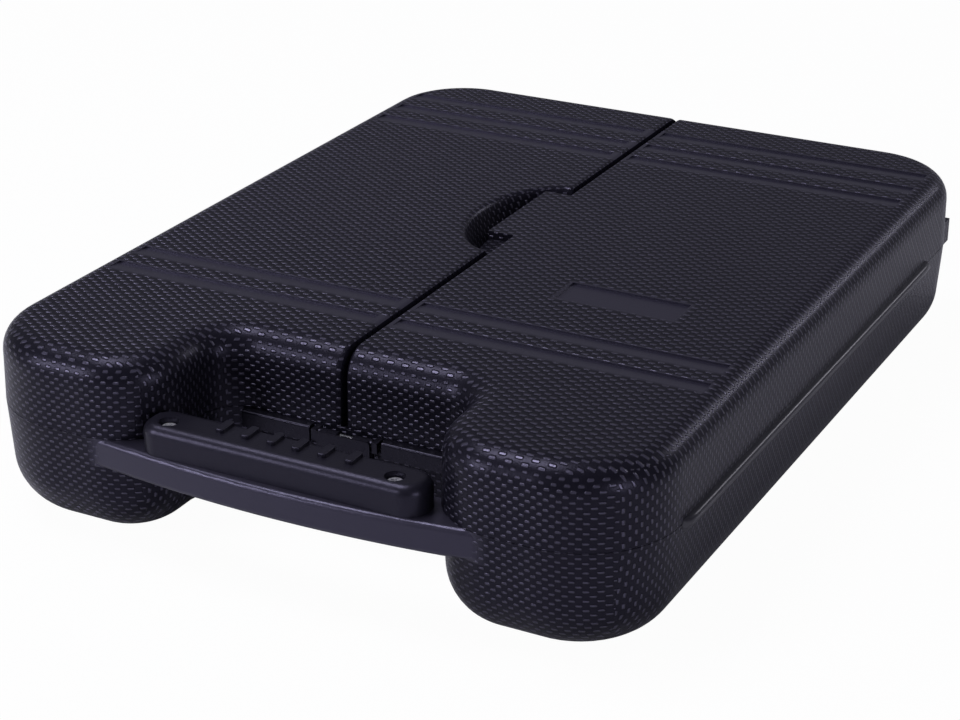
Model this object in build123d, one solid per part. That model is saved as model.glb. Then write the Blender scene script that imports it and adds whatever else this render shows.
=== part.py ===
"""A socket wrench set in a moulded case that opens as two doors, hinged on its long sides.

Millimetres. +X is right, +Y is towards the rear wall, -Y is towards the carry handle, +Z is up.
The origin is under the middle of the closed case, on the surface it stands on.
"""
from build123d import *
import math
import os

# ---- case: overall sizes ----
CASE_WIDTH = 310.0  # outside of the two long walls, at the parting line
CASE_LENGTH = 413.0  # rear wall to the front of the two legs
PARTING_Z = 49.3  # where the base ends and the lids begin
LID_HEIGHT = 34.3
CORNER_R = 42.7  # upright corners
TOP_R = 12.0  # rounding round the top of the lids
BOTTOM_R = 25.0  # rounding round the bottom of the base
LID_DRAFT = 1.2  # degrees
BASE_DRAFT = 3.55  # degrees
WALL = 2.5
LINER = 1.8  # the second, inner wall of each lid
LINER_GAP = 0.3

# ---- bay in the front, spanned by the carry handle ----
BAY_HALF = 61.0
BAY_DEPTH = 56.6
BAY_R = 16.0
LEG_R = 32.0

# ---- split between the two lids, finger scoop and tab ----
SPLIT_X = -2.0
SPLIT_GAP = 1.4
LID_GAP = 0.3  # between base and lids
LEFT_EDGE_R = 3.5
RIGHT_EDGE_R = 1.5
SCOOP_Y = 27.6
SCOOP_HALF = 47.0
SCOOP_DEEP = 31.0
SCOOP_DROP = 14.0  # depth
SCOOP_SLOPE = 6.0  # how far the wall leans in on its way down
SCOOP_RIM_R = 3.0
TAB_Y = (3.0, 63.6)
TAB_REACH = 12.5
TAB_THICK = 4.0
TAB_GAP = 0.9

# ---- grooves and the label's recess in the lids ----
GROOVE_WIDE = 8.8
GROOVE_DEEP = 0.9
GROOVE_INSET = 12.0  # from the side wall
GROOVES_FROM_FRONT = (114.2, 94.2)  # middle of each groove, from the front of the legs
GROOVES_FROM_REAR = (38.8, 59.8, 79.8)  # middle of each groove, from the rear wall
LABEL_X = (48.5, 104.5)
LABEL_Y = (-56.0, -36.4)
LABEL_DEEP = 1.0

# ---- side hinges ----
HINGE_OUT = 3.0  # hinge axis beyond the side wall
HINGE_Y = (-164.0, 145.0)
HINGE_CLEAR = 0.05

# ---- carry bar, grip and screws ----
BAR_BULGE = 6.0
BAR_HIGH = 13.2
BAR_DEEP = 22.0
BAR_EDGE_R = 2.5
BAR_SINK = 1.5  # how far the bar's ends lie inside the fronts of the legs
GRIP_PAST_BAY = (5.0, 3.4)  # how far the grip's two ends reach past the bay's sides
GRIP_HIGH = 12.7
GRIP_DEEP = 20.5
GRIP_EDGE_R = 4.5
GRIP_CORNER_R = 9.0
RIB_X = (-31.0, -19.0, -7.0, 4.5, 16.5, 29.0)
RIB_SIZE = (3.8, 9.5, 1.7)
SCREW_IN = (11.3, 14.2)  # the two screws, from the grip's two ends
SCREW_BACK = 8.4  # screw centre behind the grip's front
SCREW_HEAD_R = 3.7
SCREW_SHANK_R = 2.0
SCREW_LONG = 16.0
COUNTERBORE_R = 4.3
COUNTERBORE_DEEP = 4.6

# ---- latch ----
LATCH_IN = (10.0, 13.0)  # the latch's two ends, from the bay's sides
LATCH_Z = (41.5, 48.6)
LATCH_OUT = 4.0
FLAP_X = (-12.5, 13.0)
FLAP_Z = (37.0, 48.3)
FLAP_THICK = 4.2
LATCH_PIN_R = 1.2
LATCH_PIN_Z = 45.9
TONGUE_WIDE = 11.0
TONGUE_THICK = 2.2
TONGUE_DROP = 7.0  # below the parting line
TONGUE_SET_BACK = 0.9  # behind the base's wall, which leans back as it goes down

# ---- rear bumpers ----
BUMPER_PROUD = 5.0
BUMPER_X = (128.0, 146.0)  # from the middle, on each side
BUMPER_Z = (37.0, 49.0)

# ---- tray ----
TRAY_TOP_Z = 45.0
TRAY_WALL = 1.6
TRAY_PLATE = 2.0
TRAY_SPLIT_GAP = 1.0  # between the two trays
POST_R = 3.6
TRAY_EDGE_GAP = 0.5
POCKET_GAP = 0.7  # round each tool
TOOL_AXIS_Z = 45.0
RUNNING = 0.05  # radial clearance of everything that turns or slides

# ---- the worked-out frame of the case ----
HALF = CASE_WIDTH / 2
LENGTH_ALL = CASE_LENGTH + BUMPER_PROUD + BAR_BULGE
REAR_Y = LENGTH_ALL / 2 - BUMPER_PROUD
FRONT_Y = REAR_Y - CASE_LENGTH
BAY_BACK_Y = FRONT_Y + BAY_DEPTH
BAR_Y = FRONT_Y - BAR_BULGE
LID_Z = PARTING_Z + LID_GAP
LID_TOP_Z = PARTING_Z + LID_HEIGHT
LEFT_EDGE = SPLIT_X - SPLIT_GAP / 2
RIGHT_EDGE = SPLIT_X + SPLIT_GAP / 2
HINGE_X = HALF + HINGE_OUT
GRIP_X = (-BAY_HALF - GRIP_PAST_BAY[0], BAY_HALF + GRIP_PAST_BAY[1])
SCREW_X = (GRIP_X[0] + SCREW_IN[0], GRIP_X[1] - SCREW_IN[1])
LATCH_X = (-BAY_HALF + LATCH_IN[0], BAY_HALF - LATCH_IN[1])
TONGUE_ROOM_X = (SPLIT_X - 22, SPLIT_X + 22)
TONGUE_ROOM = TONGUE_SET_BACK + TONGUE_THICK + 0.8
BIG = 2 * (CASE_WIDTH + CASE_LENGTH)

parts = {}


def block(x, y, z):
    """A box from three (low, high) pairs."""
    size = [v[1] - v[0] for v in (x, y, z)]
    middle = [(v[1] + v[0]) / 2 for v in (x, y, z)]
    return Pos(*middle) * Box(*size)


def upright(x, y, r, z):
    """A cylinder along Z between two heights."""
    return Pos(x, y, (z[0] + z[1]) / 2) * Cylinder(r, z[1] - z[0])


def along_y(x, z, r, y):
    """A cylinder along Y between two places."""
    return Pos(x, (y[0] + y[1]) / 2, z) * Rot(90, 0, 0) * Cylinder(r, y[1] - y[0])


def along_x(y, z, r, x):
    """A cylinder along X between two places."""
    return Pos((x[0] + x[1]) / 2, y, z) * Rot(0, 90, 0) * Cylinder(r, x[1] - x[0])


def slot(x, y, z, r):
    """A box with rounded upright corners."""
    sketch = RectangleRounded(x[1] - x[0], y[1] - y[0], r)
    place = Pos((x[0] + x[1]) / 2, (y[0] + y[1]) / 2, z[0])
    return extrude(place * sketch, amount=z[1] - z[0])


def hexagon_prism(x, y, across, z):
    """A six-sided prism along Z, given its size across the flats."""
    sketch = Pos(x, y, z[0]) * RegularPolygon(across / 2, 6, major_radius=False)
    return extrude(sketch, amount=z[1] - z[0])


# ---------------------------------------------------------------- case shells
def outline(inset):
    """The case from above, inset from its outside: an oblong with a bay in its front."""
    half, bay = HALF - inset, BAY_HALF + inset
    front, rear, back = FRONT_Y + inset, REAR_Y - inset, BAY_BACK_Y + inset
    corner, leg, inner = CORNER_R - inset, LEG_R - inset, BAY_R + inset
    points = [(-half, rear), (-half, front), (-bay, front), (-bay, back)]
    points += [(bay, back), (bay, front), (half, front), (half, rear)]
    radii = [corner, corner, leg, inner, inner, leg, corner, corner]
    return make_face(FilletPolyline(*points, radius=radii, close=True))


def tub(inset):
    """The base's form below the parting line, inset on every side but the top."""
    form = extrude(outline(inset), amount=PARTING_Z - inset, taper=BASE_DRAFT)
    form = Pos(0, 0, PARTING_Z) * mirror(form, Plane.XY)
    floor = form.faces().sort_by(Axis.Z)[0]
    return fillet(floor.edges(), BOTTOM_R - inset)


def dome(inset):
    """The lids' form above the parting line, both in one, inset on every side but the bottom."""
    face = Pos(0, 0, LID_Z) * outline(inset)
    form = extrude(face, amount=LID_TOP_Z - LID_Z - inset, taper=LID_DRAFT)
    roof = form.faces().sort_by(Axis.Z)[-1]
    return fillet(roof.edges(), TOP_R - inset)


def left_of(x):
    return block((-BIG, x), (-BIG, BIG), (-BIG, BIG))


def right_of(x):
    return block((x, BIG), (-BIG, BIG), (-BIG, BIG))


def scoop(grow):
    """The finger scoop in the left lid: half an oval dish, open at the split."""
    top, floor = LID_TOP_Z + 0.01, LID_TOP_Z - SCOOP_DROP - grow
    rim = Pos(0, SCOOP_Y, top) * Ellipse(SCOOP_DEEP + grow, SCOOP_HALF + grow)
    deep, half = SCOOP_DEEP - SCOOP_SLOPE + grow, SCOOP_HALF - SCOOP_SLOPE + grow
    return loft([Pos(0, SCOOP_Y, floor) * Ellipse(deep, half), rim])


def passage(grow):
    """The way through the left lid that the right lid's tab needs, whichever lid opens first."""
    x = (RIGHT_EDGE - TAB_REACH - TAB_GAP - grow, BIG)
    return block(x, (TAB_Y[0] - TAB_GAP - grow, TAB_Y[1] + TAB_GAP + grow), (-BIG, BIG))


def lid_form(side, inset):
    """One lid's solid form, inset from the split as well."""
    if side == "left":
        return dome(inset) & left_of(LEFT_EDGE - inset)
    return dome(inset) & right_of(RIGHT_EDGE + inset)


def grooves(side):
    """Five grooves across one lid: each steps down at its rear edge and ramps up to its front."""
    middles = [FRONT_Y + d for d in GROOVES_FROM_FRONT] + [REAR_Y - d for d in GROOVES_FROM_REAR]
    x = (-HALF + GROOVE_INSET, LEFT_EDGE - 6.0)
    if side == "right":
        x = (RIGHT_EDGE + 3.0, HALF - GROOVE_INSET)
    cutters = []
    for y in middles:
        rear, front, low = y + GROOVE_WIDE / 2, y - GROOVE_WIDE / 2, LID_TOP_Z - GROOVE_DEEP
        section = [(rear, LID_TOP_Z + 1), (rear, low), (rear - 0.8, low), (front, LID_TOP_Z + 0.01)]
        face = Plane.YZ.offset(x[0]) * make_face(Polyline(*section, close=True))
        cutters.append(extrude(face, amount=x[1] - x[0], dir=(1, 0, 0)))
    return cutters


def lid_shell(side):
    """One lid's outer shell: closed on all sides but its underside."""
    form = lid_form(side, 0)
    hollow = lid_form(side, WALL)
    middle = (RIGHT_EDGE + 3, RIGHT_EDGE + 3 + TONGUE_WIDE)
    if side == "left":
        middle = (LEFT_EDGE - 3 - TONGUE_WIDE, LEFT_EDGE - 3)
        form = soften_split(form, LEFT_EDGE, LEFT_EDGE_R) - scoop(0)
        rim = [e for e in form.edges() if on_scoop_rim(e)]
        form = fillet(rim, SCOOP_RIM_R) - passage(0)
        hollow = hollow - scoop(WALL) - passage(WALL)
    else:
        form = soften_split(form, RIGHT_EDGE, RIGHT_EDGE_R)
    form = form - hollow - grooves(side)
    if side == "right":
        x = (RIGHT_EDGE - TAB_REACH, RIGHT_EDGE + WALL)
        form = form + block(x, TAB_Y, (LID_TOP_Z - TAB_THICK, LID_TOP_Z))
        form = form - block(LABEL_X, LABEL_Y, (LID_TOP_Z - LABEL_DEEP, LID_TOP_Z + 1))
    back = BAY_BACK_Y + WALL
    front, rear, top = back + TONGUE_SET_BACK, back + TONGUE_SET_BACK + TONGUE_THICK, LID_Z + 6
    tongue = block(middle, (back - 0.5, rear), (LID_Z + 1, top))
    tongue = tongue + block(middle, (front, rear), (PARTING_Z - TONGUE_DROP, top))
    return form + tongue


def soften_split(form, x, radius):
    """Round the upper and upright edges of a lid's split face."""
    face = form.faces().filter_by(Axis.X).sort_by(lambda f: abs(f.center().X - x))[0]
    return fillet([e for e in face.edges() if e.center().Z > LID_Z + 0.1], radius)


def on_scoop_rim(edge):
    """Whether an edge is the curved rim of the scoop in the lid's top."""
    box, middle = edge.bounding_box(), edge.center()
    flat = box.size.Z < 0.01 and abs(middle.Z - LID_TOP_Z) < 0.1
    return flat and box.size.Y > SCOOP_HALF and box.size.X > SCOOP_DEEP / 2


def lid_liner(side):
    """The lid's inner wall: a thinner shell inside the outer one, cut back round the tongues."""
    outer, inner = WALL + LINER_GAP, WALL + LINER_GAP + LINER
    form, hollow = lid_form(side, outer), lid_form(side, inner)
    if side == "left":
        form, hollow = form - scoop(outer) - passage(outer), hollow - scoop(inner) - passage(inner)
    back = BAY_BACK_Y + WALL
    notch = block(TONGUE_ROOM_X, (back - 1, back + TONGUE_ROOM), (LID_Z - 1, LID_Z + 7))
    return form - hollow - notch


def hinge_strip(sign):
    """The soft bead that joins a lid to the base, on the hinge's axis."""
    r = HINGE_OUT - HINGE_CLEAR
    bead = along_y(HINGE_X, PARTING_Z, r, HINGE_Y)
    foot = block((HALF - 1, HINGE_X), HINGE_Y, (PARTING_Z - 1.6, PARTING_Z - 0.1))
    strip = bead + (foot - base_outside)
    return strip if sign > 0 else mirror(strip, Plane.YZ)


def bar_outline(z):
    """The carry bar from above: straight at the back, bowed at the front, ends in the legs."""
    end, end_y = BAY_HALF + LEG_R, FRONT_Y + BAR_SINK
    back = BAR_Y + BAR_DEEP + BAR_BULGE
    inside = BAY_HALF + 9.0
    front = ThreePointArc((-end, end_y), (0, BAR_Y), (end, end_y))
    rest = Polyline((end, end_y), (inside, back), (-inside, back), (-end, end_y))
    return Pos(0, 0, z) * make_face([front, rest])


def carry_bar():
    bar = extrude(bar_outline(PARTING_Z - BAR_HIGH), amount=BAR_HIGH, dir=(0, 0, 1))
    long_edges = [e for e in bar.edges() if abs(e.center().Z - PARTING_Z + BAR_HIGH / 2) > 1]
    long_edges = [e for e in long_edges if e.length > BAY_HALF]
    return fillet(long_edges, BAR_EDGE_R)


def base_shell():
    """The base, with the bar that spans its bay and the holes for the grip's screws."""
    shell = base_outside + carry_bar() - tub(WALL)
    for x in SCREW_X:
        shell = shell - upright(x, SCREW_Y, SCREW_SHANK_R + RUNNING, (PARTING_Z - 9, PARTING_Z + 1))
    return shell


# ---------------------------------------------------------------- handle grip
GRIP_FRONT_Y = BAR_Y + 4.3
SCREW_Y = GRIP_FRONT_Y + SCREW_BACK


def handle_grip():
    y = (GRIP_FRONT_Y, GRIP_FRONT_Y + GRIP_DEEP)
    grip = slot(GRIP_X, y, (PARTING_Z, PARTING_Z + GRIP_HIGH), GRIP_CORNER_R)
    grip = fillet(grip.faces().sort_by(Axis.Z)[-1].edges(), GRIP_EDGE_R)
    top = PARTING_Z + GRIP_HIGH
    wide, long, high = RIB_SIZE
    for x in RIB_X:
        rib = slot((x - wide / 2, x + wide / 2), (y[1] - 2.5 - long, y[1] - 2.5), (top - 1, top + high), 1.2)
        grip = grip + fillet(rib.faces().sort_by(Axis.Z)[-1].edges(), 0.5)
    for x in SCREW_X:
        grip = grip - upright(x, SCREW_Y, COUNTERBORE_R, (top - COUNTERBORE_DEEP, top + 1))
        grip = grip - upright(x, SCREW_Y, SCREW_SHANK_R + RUNNING, (PARTING_Z - 1, top))
    return grip


def handle_screw(x):
    """A pan-head screw with a cross recess."""
    seat = PARTING_Z + GRIP_HIGH - COUNTERBORE_DEEP
    head = upright(x, SCREW_Y, SCREW_HEAD_R, (seat, seat + 2.6))
    head = fillet(head.faces().sort_by(Axis.Z)[-1].edges(), 1.2)
    screw = head + upright(x, SCREW_Y, SCREW_SHANK_R, (seat - SCREW_LONG, seat + 1))
    for wide, long in ((1.0, 4.2), (4.2, 1.0)):
        y = (SCREW_Y - long / 2, SCREW_Y + long / 2)
        screw = screw - block((x - wide / 2, x + wide / 2), y, (seat + 1.0, seat + 4))
    return screw


# ---------------------------------------------------------------- latch
LATCH_FRONT_Y = BAY_BACK_Y - LATCH_OUT
LATCH_PIN_Y = LATCH_FRONT_Y + 1.2
LUG_WIDE = 2.6
LUG_GAP = 0.4  # between the flap and each lug
PIN_X = (FLAP_X[0] - LUG_GAP - LUG_WIDE, FLAP_X[1] + LUG_GAP + LUG_WIDE)


def latch_frame():
    """A smooth strip in two lengths on the bay's back wall, with two lugs between for the flap's pin."""
    y = (LATCH_FRONT_Y, BAY_BACK_Y + 1.5)
    frame = slot(LATCH_X, y, LATCH_Z, 1.5)
    top = frame.faces().sort_by(Axis.Z)[-1]
    front = top.edges().sort_by(Axis.Y)[0]
    frame = fillet(front, 1.0)
    frame = frame - block((FLAP_X[0] - 4.5, FLAP_X[1] + 4.5), (-BIG, BIG), (0, BIG))
    for x in (PIN_X[0], FLAP_X[1] + LUG_GAP):
        lug_z = (LATCH_PIN_Z - 2.4, LATCH_PIN_Z + 2.4)
        lug = block((x, x + LUG_WIDE), (LATCH_PIN_Y - 2.2, BAY_BACK_Y + 1.5), lug_z)
        frame = frame + lug
    frame = frame - base_outside
    return frame - along_x(LATCH_PIN_Y, LATCH_PIN_Z, LATCH_PIN_R, PIN_X)


def latch_pin():
    return along_x(LATCH_PIN_Y, LATCH_PIN_Z, LATCH_PIN_R, PIN_X)


def latch_flap():
    """The flap that is lifted to free both lids. It turns on the pin, near its top edge."""
    back = LATCH_PIN_Y + 1.0
    flap = block(FLAP_X, (back - FLAP_THICK, back), FLAP_Z)
    flap = fillet(flap.edges().filter_by(Axis.Y), 1.6)
    barrel = along_x(LATCH_PIN_Y, LATCH_PIN_Z, LATCH_PIN_R + 1.3, FLAP_X)
    flap = flap + barrel
    lip_y = (back - FLAP_THICK - 1.6, back - 1)
    lip = block((FLAP_X[0] + 3, FLAP_X[1] - 3), lip_y, (FLAP_Z[0], FLAP_Z[0] + 2))
    flap = flap + fillet(lip.edges().filter_by(Axis.X), 0.7)
    spring_room = block((-3.6, 4.1), (-BIG, BIG), (LATCH_PIN_Z - 3.2, LATCH_PIN_Z + 3.4))
    flap = flap - (spring_room & block((-BIG, BIG), (LATCH_PIN_Y - 2.1, BIG), (-BIG, BIG)))
    return flap - along_x(LATCH_PIN_Y, LATCH_PIN_Z, LATCH_PIN_R + RUNNING, (-BIG / 8, BIG / 8))


def latch_spring():
    """The small spring round the pin that closes the flap: a close-wound sleeve."""
    sleeve = along_x(LATCH_PIN_Y, LATCH_PIN_Z, LATCH_PIN_R + 0.7, (-3.0, 3.5))
    return sleeve - along_x(LATCH_PIN_Y, LATCH_PIN_Z, LATCH_PIN_R + RUNNING, (-4, 5))


def rear_bumpers():
    """Two small feet proud of the rear wall, by its corners, for standing the case on end."""
    foot = block(BUMPER_X, (REAR_Y - 24, REAR_Y + BUMPER_PROUD), BUMPER_Z)
    foot = fillet(foot.faces().sort_by(Axis.Y)[-1].edges(), 2.5) - base_outside
    foot = foot.solids().sort_by(Axis.Y)[-1]
    return Compound(children=[foot, mirror(foot, Plane.YZ)])


# ================================================================ the tools
# Sizes of the tools, which the tray's pockets follow.
HALF_SQUARE = 12.7  # half-inch drive
QUARTER_SQUARE = 6.35  # quarter-inch drive
SQUARE_GAP = 0.15

HALF_RATCHET = {
    "long": 250.0, "head_r": 21.0, "head_high": 24.0, "gear_r": 13.0, "square": HALF_SQUARE,
    "shank_r": 7.0, "grip_r": 15.0, "grip_long": 118.0, "button_r": 4.5, "lever": (7.0, 17.0, 3.4),
}
QUARTER_RATCHET = {
    "long": 150.0, "head_r": 13.0, "head_high": 15.0, "gear_r": 7.5, "square": QUARTER_SQUARE,
    "shank_r": 4.6, "grip_r": 10.0, "grip_long": 76.0, "button_r": 2.4, "lever": (4.6, 10.5, 2.6),
}
BUTTON_OUT = {"half": 2.6, "quarter": 1.9}
COVER_HIGH = 2.0
LEVER_ANGLE = 20.0  # the lever rests turned this far from the handle's line

HALF_SOCKETS = ((22, 21, 19, 18), (17, 16, 15, 14), (13, 12, 11, 10))
HALF_SOCKET_HIGH = 38.0
QUARTER_SOCKETS = ((4, 4.5, 5, 5.5, 6, 7, 8), (9, 10, 11, 12, 13, 13.5, 14))
QUARTER_SOCKET_HIGH = 25.0
DEEP_SOCKETS = (19, 17, 15, 13)
DEEP_SOCKET_LONG = 77.0
PLUG_SOCKET = {"across": 16.0, "r": 11.0, "long": 65.0}

BIT_ACROSS = 6.35
BIT_GRID = (2, 12)
BIT_PITCH = 12.6
BIT_HOLDER_HIGH = 18.0

# ---- where things lie in the tray ----
FRONT_IN = BAY_BACK_Y + 11.0  # front of the tools behind the bay
LEG_IN = FRONT_Y + 18.0  # front of the tools that reach into a leg
REAR_IN = REAR_Y - 16.0  # rear of the tools along the rear wall
HALF_RATCHET_X = -HALF + 35.0
HALF_LONG_X = -HALF + 66.0
T_BAR_X = -HALF + 89.0
SHORT_X = LEFT_EDGE - 40.5
HALF_JOINT_X = LEFT_EDGE - 30.0
QUARTER_RATCHET_X = HALF - 27.0
QUARTER_LONG_X = HALF - 51.0
SPINNER_X = HALF - 75.0
QUARTER_SHORT_X = HALF - 106.0
BIT_HOLDER_X = RIGHT_EDGE + 9.0
SOCKET_SUNK = 0.5  # share of a standing socket that is in its pocket
SOCKET_PITCH = (34.5, 33.5)
SOCKET_FIRST_X = HALF - 29.5
SOCKET_FIRST_Y = REAR_Y - 28.0
QUARTER_PITCH = (19.5, 21.5)
QUARTER_ROW_Y = REAR_Y - 124.0

TRAY_POSTS = (
    (-HALF + 37, REAR_Y - 115),
    (LEFT_EDGE - 22, REAR_Y - 106),
    (SPLIT_X - 5, BAY_BACK_Y + 35),
    (SPLIT_X + 5, BAY_BACK_Y + 35),
    (SPLIT_X - 5, REAR_Y - 40),
    (SPLIT_X + 5, REAR_Y - 40),
    (HALF - 35, REAR_Y - 177),
    (SPINNER_X, REAR_Y - 174),
    (-HALF + 58, FRONT_Y + 36),
    (HALF - 58, FRONT_Y + 36),
)
T_BAR = {"long": 250.0, "r": 6.0, "slider_r": 11.0, "slider_long": 24.0, "travel": 85.0}
SPINNER = {"long": 150.0, "grip_long": 96.0, "r": 14.0, "shank_r": 4.2, "flutes": 6}
JOINT_SWING = 9.0  # degrees to each side that a universal joint can swing in its pocket

pockets = []  # (solid outside the pocket's wall, solid of the space inside it)


def pocket(x, y, floor, corner=3.0):
    """A pocket with rounded corners round a tool's own extents, opened by the clearance."""
    g, w = POCKET_GAP, POCKET_GAP + TRAY_WALL
    inner = slot((x[0] - g, x[1] + g), (y[0] - g, y[1] + g), (floor, TRAY_TOP_Z + 1), corner)
    z = (floor - TRAY_WALL, TRAY_TOP_Z)
    outer = slot((x[0] - w, x[1] + w), (y[0] - w, y[1] + w), z, corner + TRAY_WALL)
    pockets.append((outer, inner))


def round_pocket(x, y, r, floor):
    """A round pocket round a tool's own radius, opened by the clearance."""
    inner = upright(x, y, r + POCKET_GAP, (floor, TRAY_TOP_Z + 1))
    outer = upright(x, y, r + POCKET_GAP + TRAY_WALL, (floor - TRAY_WALL, TRAY_TOP_Z))
    pockets.append((outer, inner))


def detent(square):
    """The small bump on a square drive that holds a socket, pointing along Z from the face."""
    return Cone(0.16 * square, 0.07 * square, 0.16 * square)


def round_ends(solid, radius):
    """Chamfer the two end rims of a turned piece that lies along Y."""
    ends = solid.faces().filter_by(Axis.Y).sort_by(Axis.Y)
    return chamfer([*ends[0].edges(), *ends[-1].edges()], radius)


def ratchet(size, s, x, front):
    """A reversible ratchet, flat in its pocket with the drive down and the lever on top."""
    axis_y = front + s["long"] - s["head_r"]
    top, low = TOOL_AXIS_Z + s["head_high"] / 2, TOOL_AXIS_Z - s["head_high"] / 2
    plate = s["head_high"] / 6
    seat = low + COVER_HIGH
    gear_r, square = s["gear_r"], s["square"]
    neck_r = square * math.sqrt(2) / 2 + 0.25
    grip_end = front + s["grip_long"]

    head = upright(x, axis_y, s["head_r"], (low, top))
    head = fillet(head.edges(), s["head_high"] / 10)
    neck = loft([
        Plane.XZ.offset(-axis_y + 0.5 * s["head_r"]) * Pos(x, TOOL_AXIS_Z)
        * RectangleRounded(1.5 * s["head_r"], 0.72 * s["head_high"], 3.0),
        Plane.XZ.offset(-axis_y + 2.2 * s["head_r"]) * Pos(x, TOOL_AXIS_Z)
        * RectangleRounded(2 * s["shank_r"], 2 * s["shank_r"], s["shank_r"] - 0.2),
    ])
    shank = along_y(x, TOOL_AXIS_Z, s["shank_r"], (grip_end - 12, axis_y - 2.1 * s["head_r"]))
    tang = along_y(x, TOOL_AXIS_Z, 0.6 * s["shank_r"], (front + 14, grip_end))
    body = head + neck + shank + tang
    body = body - upright(x, axis_y, gear_r + RUNNING, (seat - 5, top - plate))
    body = body - upright(x, axis_y, s["button_r"] + 2 * RUNNING, (low, top + 1))
    body = body - upright(x, axis_y, s["head_r"] - 2.4, (low - 1, seat))
    lever_y = axis_y - 0.62 * s["head_r"]
    pivot_r = 0.32 * s["lever"][0]
    body = body - upright(x, lever_y, pivot_r + RUNNING, (top - plate + 1.2, top + 1))
    parts[f"{size}_ratchet_body"] = body

    cover = upright(x, axis_y, s["head_r"] - 2.5, (low, seat))
    cover = cover - upright(x, axis_y, neck_r + RUNNING, (low - 1, seat + 1))
    for turn in (30, 150, 270):
        a = math.radians(turn)
        r = (s["head_r"] - 2.5 + neck_r) / 2
        cover = cover - upright(x + r * math.cos(a), axis_y + r * math.sin(a), 1.4, (low - 1, low + 0.9))
    parts[f"{size}_ratchet_cover"] = cover

    gear = upright(x, axis_y, gear_r, (seat + 0.1, top - plate - 0.1))
    teeth = round(gear_r * 2.8)
    for n in range(teeth):
        a = 2 * math.pi * n / teeth
        cut = upright(x + gear_r * math.cos(a), axis_y + gear_r * math.sin(a), 0.55, (low, top))
        gear = gear - cut
    gear = gear + upright(x, axis_y, neck_r, (low - 1.0, seat + 0.2))
    end = low - 1.0 - square * 1.15
    drive = block((x - square / 2, x + square / 2), (axis_y - square / 2, axis_y + square / 2), (end, low))
    drive = chamfer(drive.faces().sort_by(Axis.Z)[0].edges(), 0.08 * square)
    gear = gear + drive + Pos(x + square / 2, axis_y, (end + low) / 2) * Rot(0, 90, 0) * detent(square)
    stem = s["button_r"] + RUNNING
    gear = gear - upright(x, axis_y, stem, (end + 0.45 * square, top))
    parts[f"{size}_ratchet_gear"] = gear

    button_top = top + BUTTON_OUT[size]
    button = upright(x, axis_y, s["button_r"], (end + 0.45 * square + BUTTON_OUT[size], button_top))
    button = fillet(button.faces().sort_by(Axis.Z)[-1].edges(), 0.3 * s["button_r"])
    parts[f"{size}_ratchet_button"] = button

    wide, long, high = s["lever"]
    thumb = slot((-wide / 2, wide / 2), (-long, wide / 2), (0, high), wide / 2 - 0.05)
    thumb = fillet(thumb.faces().sort_by(Axis.Z)[-1].edges(), high * 0.3)
    for n in range(4):
        y = -long + 2.2 + 1.5 * n * wide / 5
        thumb = thumb - block((-wide, wide), (y, y + 0.5), (high - 0.4, high + 1))
    lever = thumb + upright(0, 0, pivot_r, (-plate + 1.5, 0.1))
    lever = lever.rotate(Axis.Z, -LEVER_ANGLE)
    parts[f"{size}_ratchet_lever"] = Pos(x, lever_y, top + 0.15) * lever

    grip = along_y(x, TOOL_AXIS_Z, s["grip_r"], (front, grip_end))
    grip = fillet(grip.edges(), s["grip_r"] * 0.42)
    for n in range(9):
        y = front + s["grip_long"] * (0.3 + 0.055 * n)
        ring = along_y(x, TOOL_AXIS_Z, s["grip_r"] + 1, (y, y + s["grip_long"] * 0.016))
        grip = grip - (ring - along_y(x, TOOL_AXIS_Z, s["grip_r"] - 0.8, (y - 1, y + 9)))
    grip = grip - along_y(x, TOOL_AXIS_Z, 0.6 * s["shank_r"], (front + 14, grip_end + 1))
    grip = grip - along_y(x, TOOL_AXIS_Z, s["shank_r"], (grip_end - 12, grip_end + 1))
    parts[f"{size}_ratchet_grip"] = grip

    r = s["grip_r"]
    pocket((x - r, x + r), (front, grip_end), TOOL_AXIS_Z - r)
    r = s["shank_r"] + 2
    pocket((x - r, x + r), (grip_end - 2, axis_y), TOOL_AXIS_Z - s["shank_r"] - 1)
    r = 0.8 * s["head_r"]
    pocket((x - r, x + r), (axis_y - 2.0 * s["head_r"], axis_y), low + 1)
    round_pocket(x, axis_y, s["head_r"], low)
    round_pocket(x, axis_y, neck_r, end - 1.0)


def socket_form(across, r, high, square, foot_r):
    """A socket standing up: six-sided mouth on top, square drive hole beneath."""
    waist = 0.45 * high
    form = upright(0, 0, foot_r, (0, waist)) + upright(0, 0, r, (waist - 0.1, high))
    rims = form.edges().filter_by(GeomType.CIRCLE).group_by(Axis.Z)
    form = chamfer([*rims[0], *rims[-1]], 0.9)
    form = form - hexagon_prism(0, 0, across, (0.5 * high, high + 1))
    lead = Pos(0, 0, high - 0.6) * Cone(across / 2 * 1.0, across / 2 * 1.2, 1.4)
    form = form - lead
    form = form - upright(0, 0, across * 0.42, (0.4 * high, 0.55 * high))
    side = square / 2 + SQUARE_GAP
    return form - block((-side, side), (-side, side), (-1, 0.42 * high))


def half_socket_r(across):
    return max(11.2, across * 0.69)


def quarter_socket_r(across):
    return max(5.9, across * 0.7)


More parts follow.
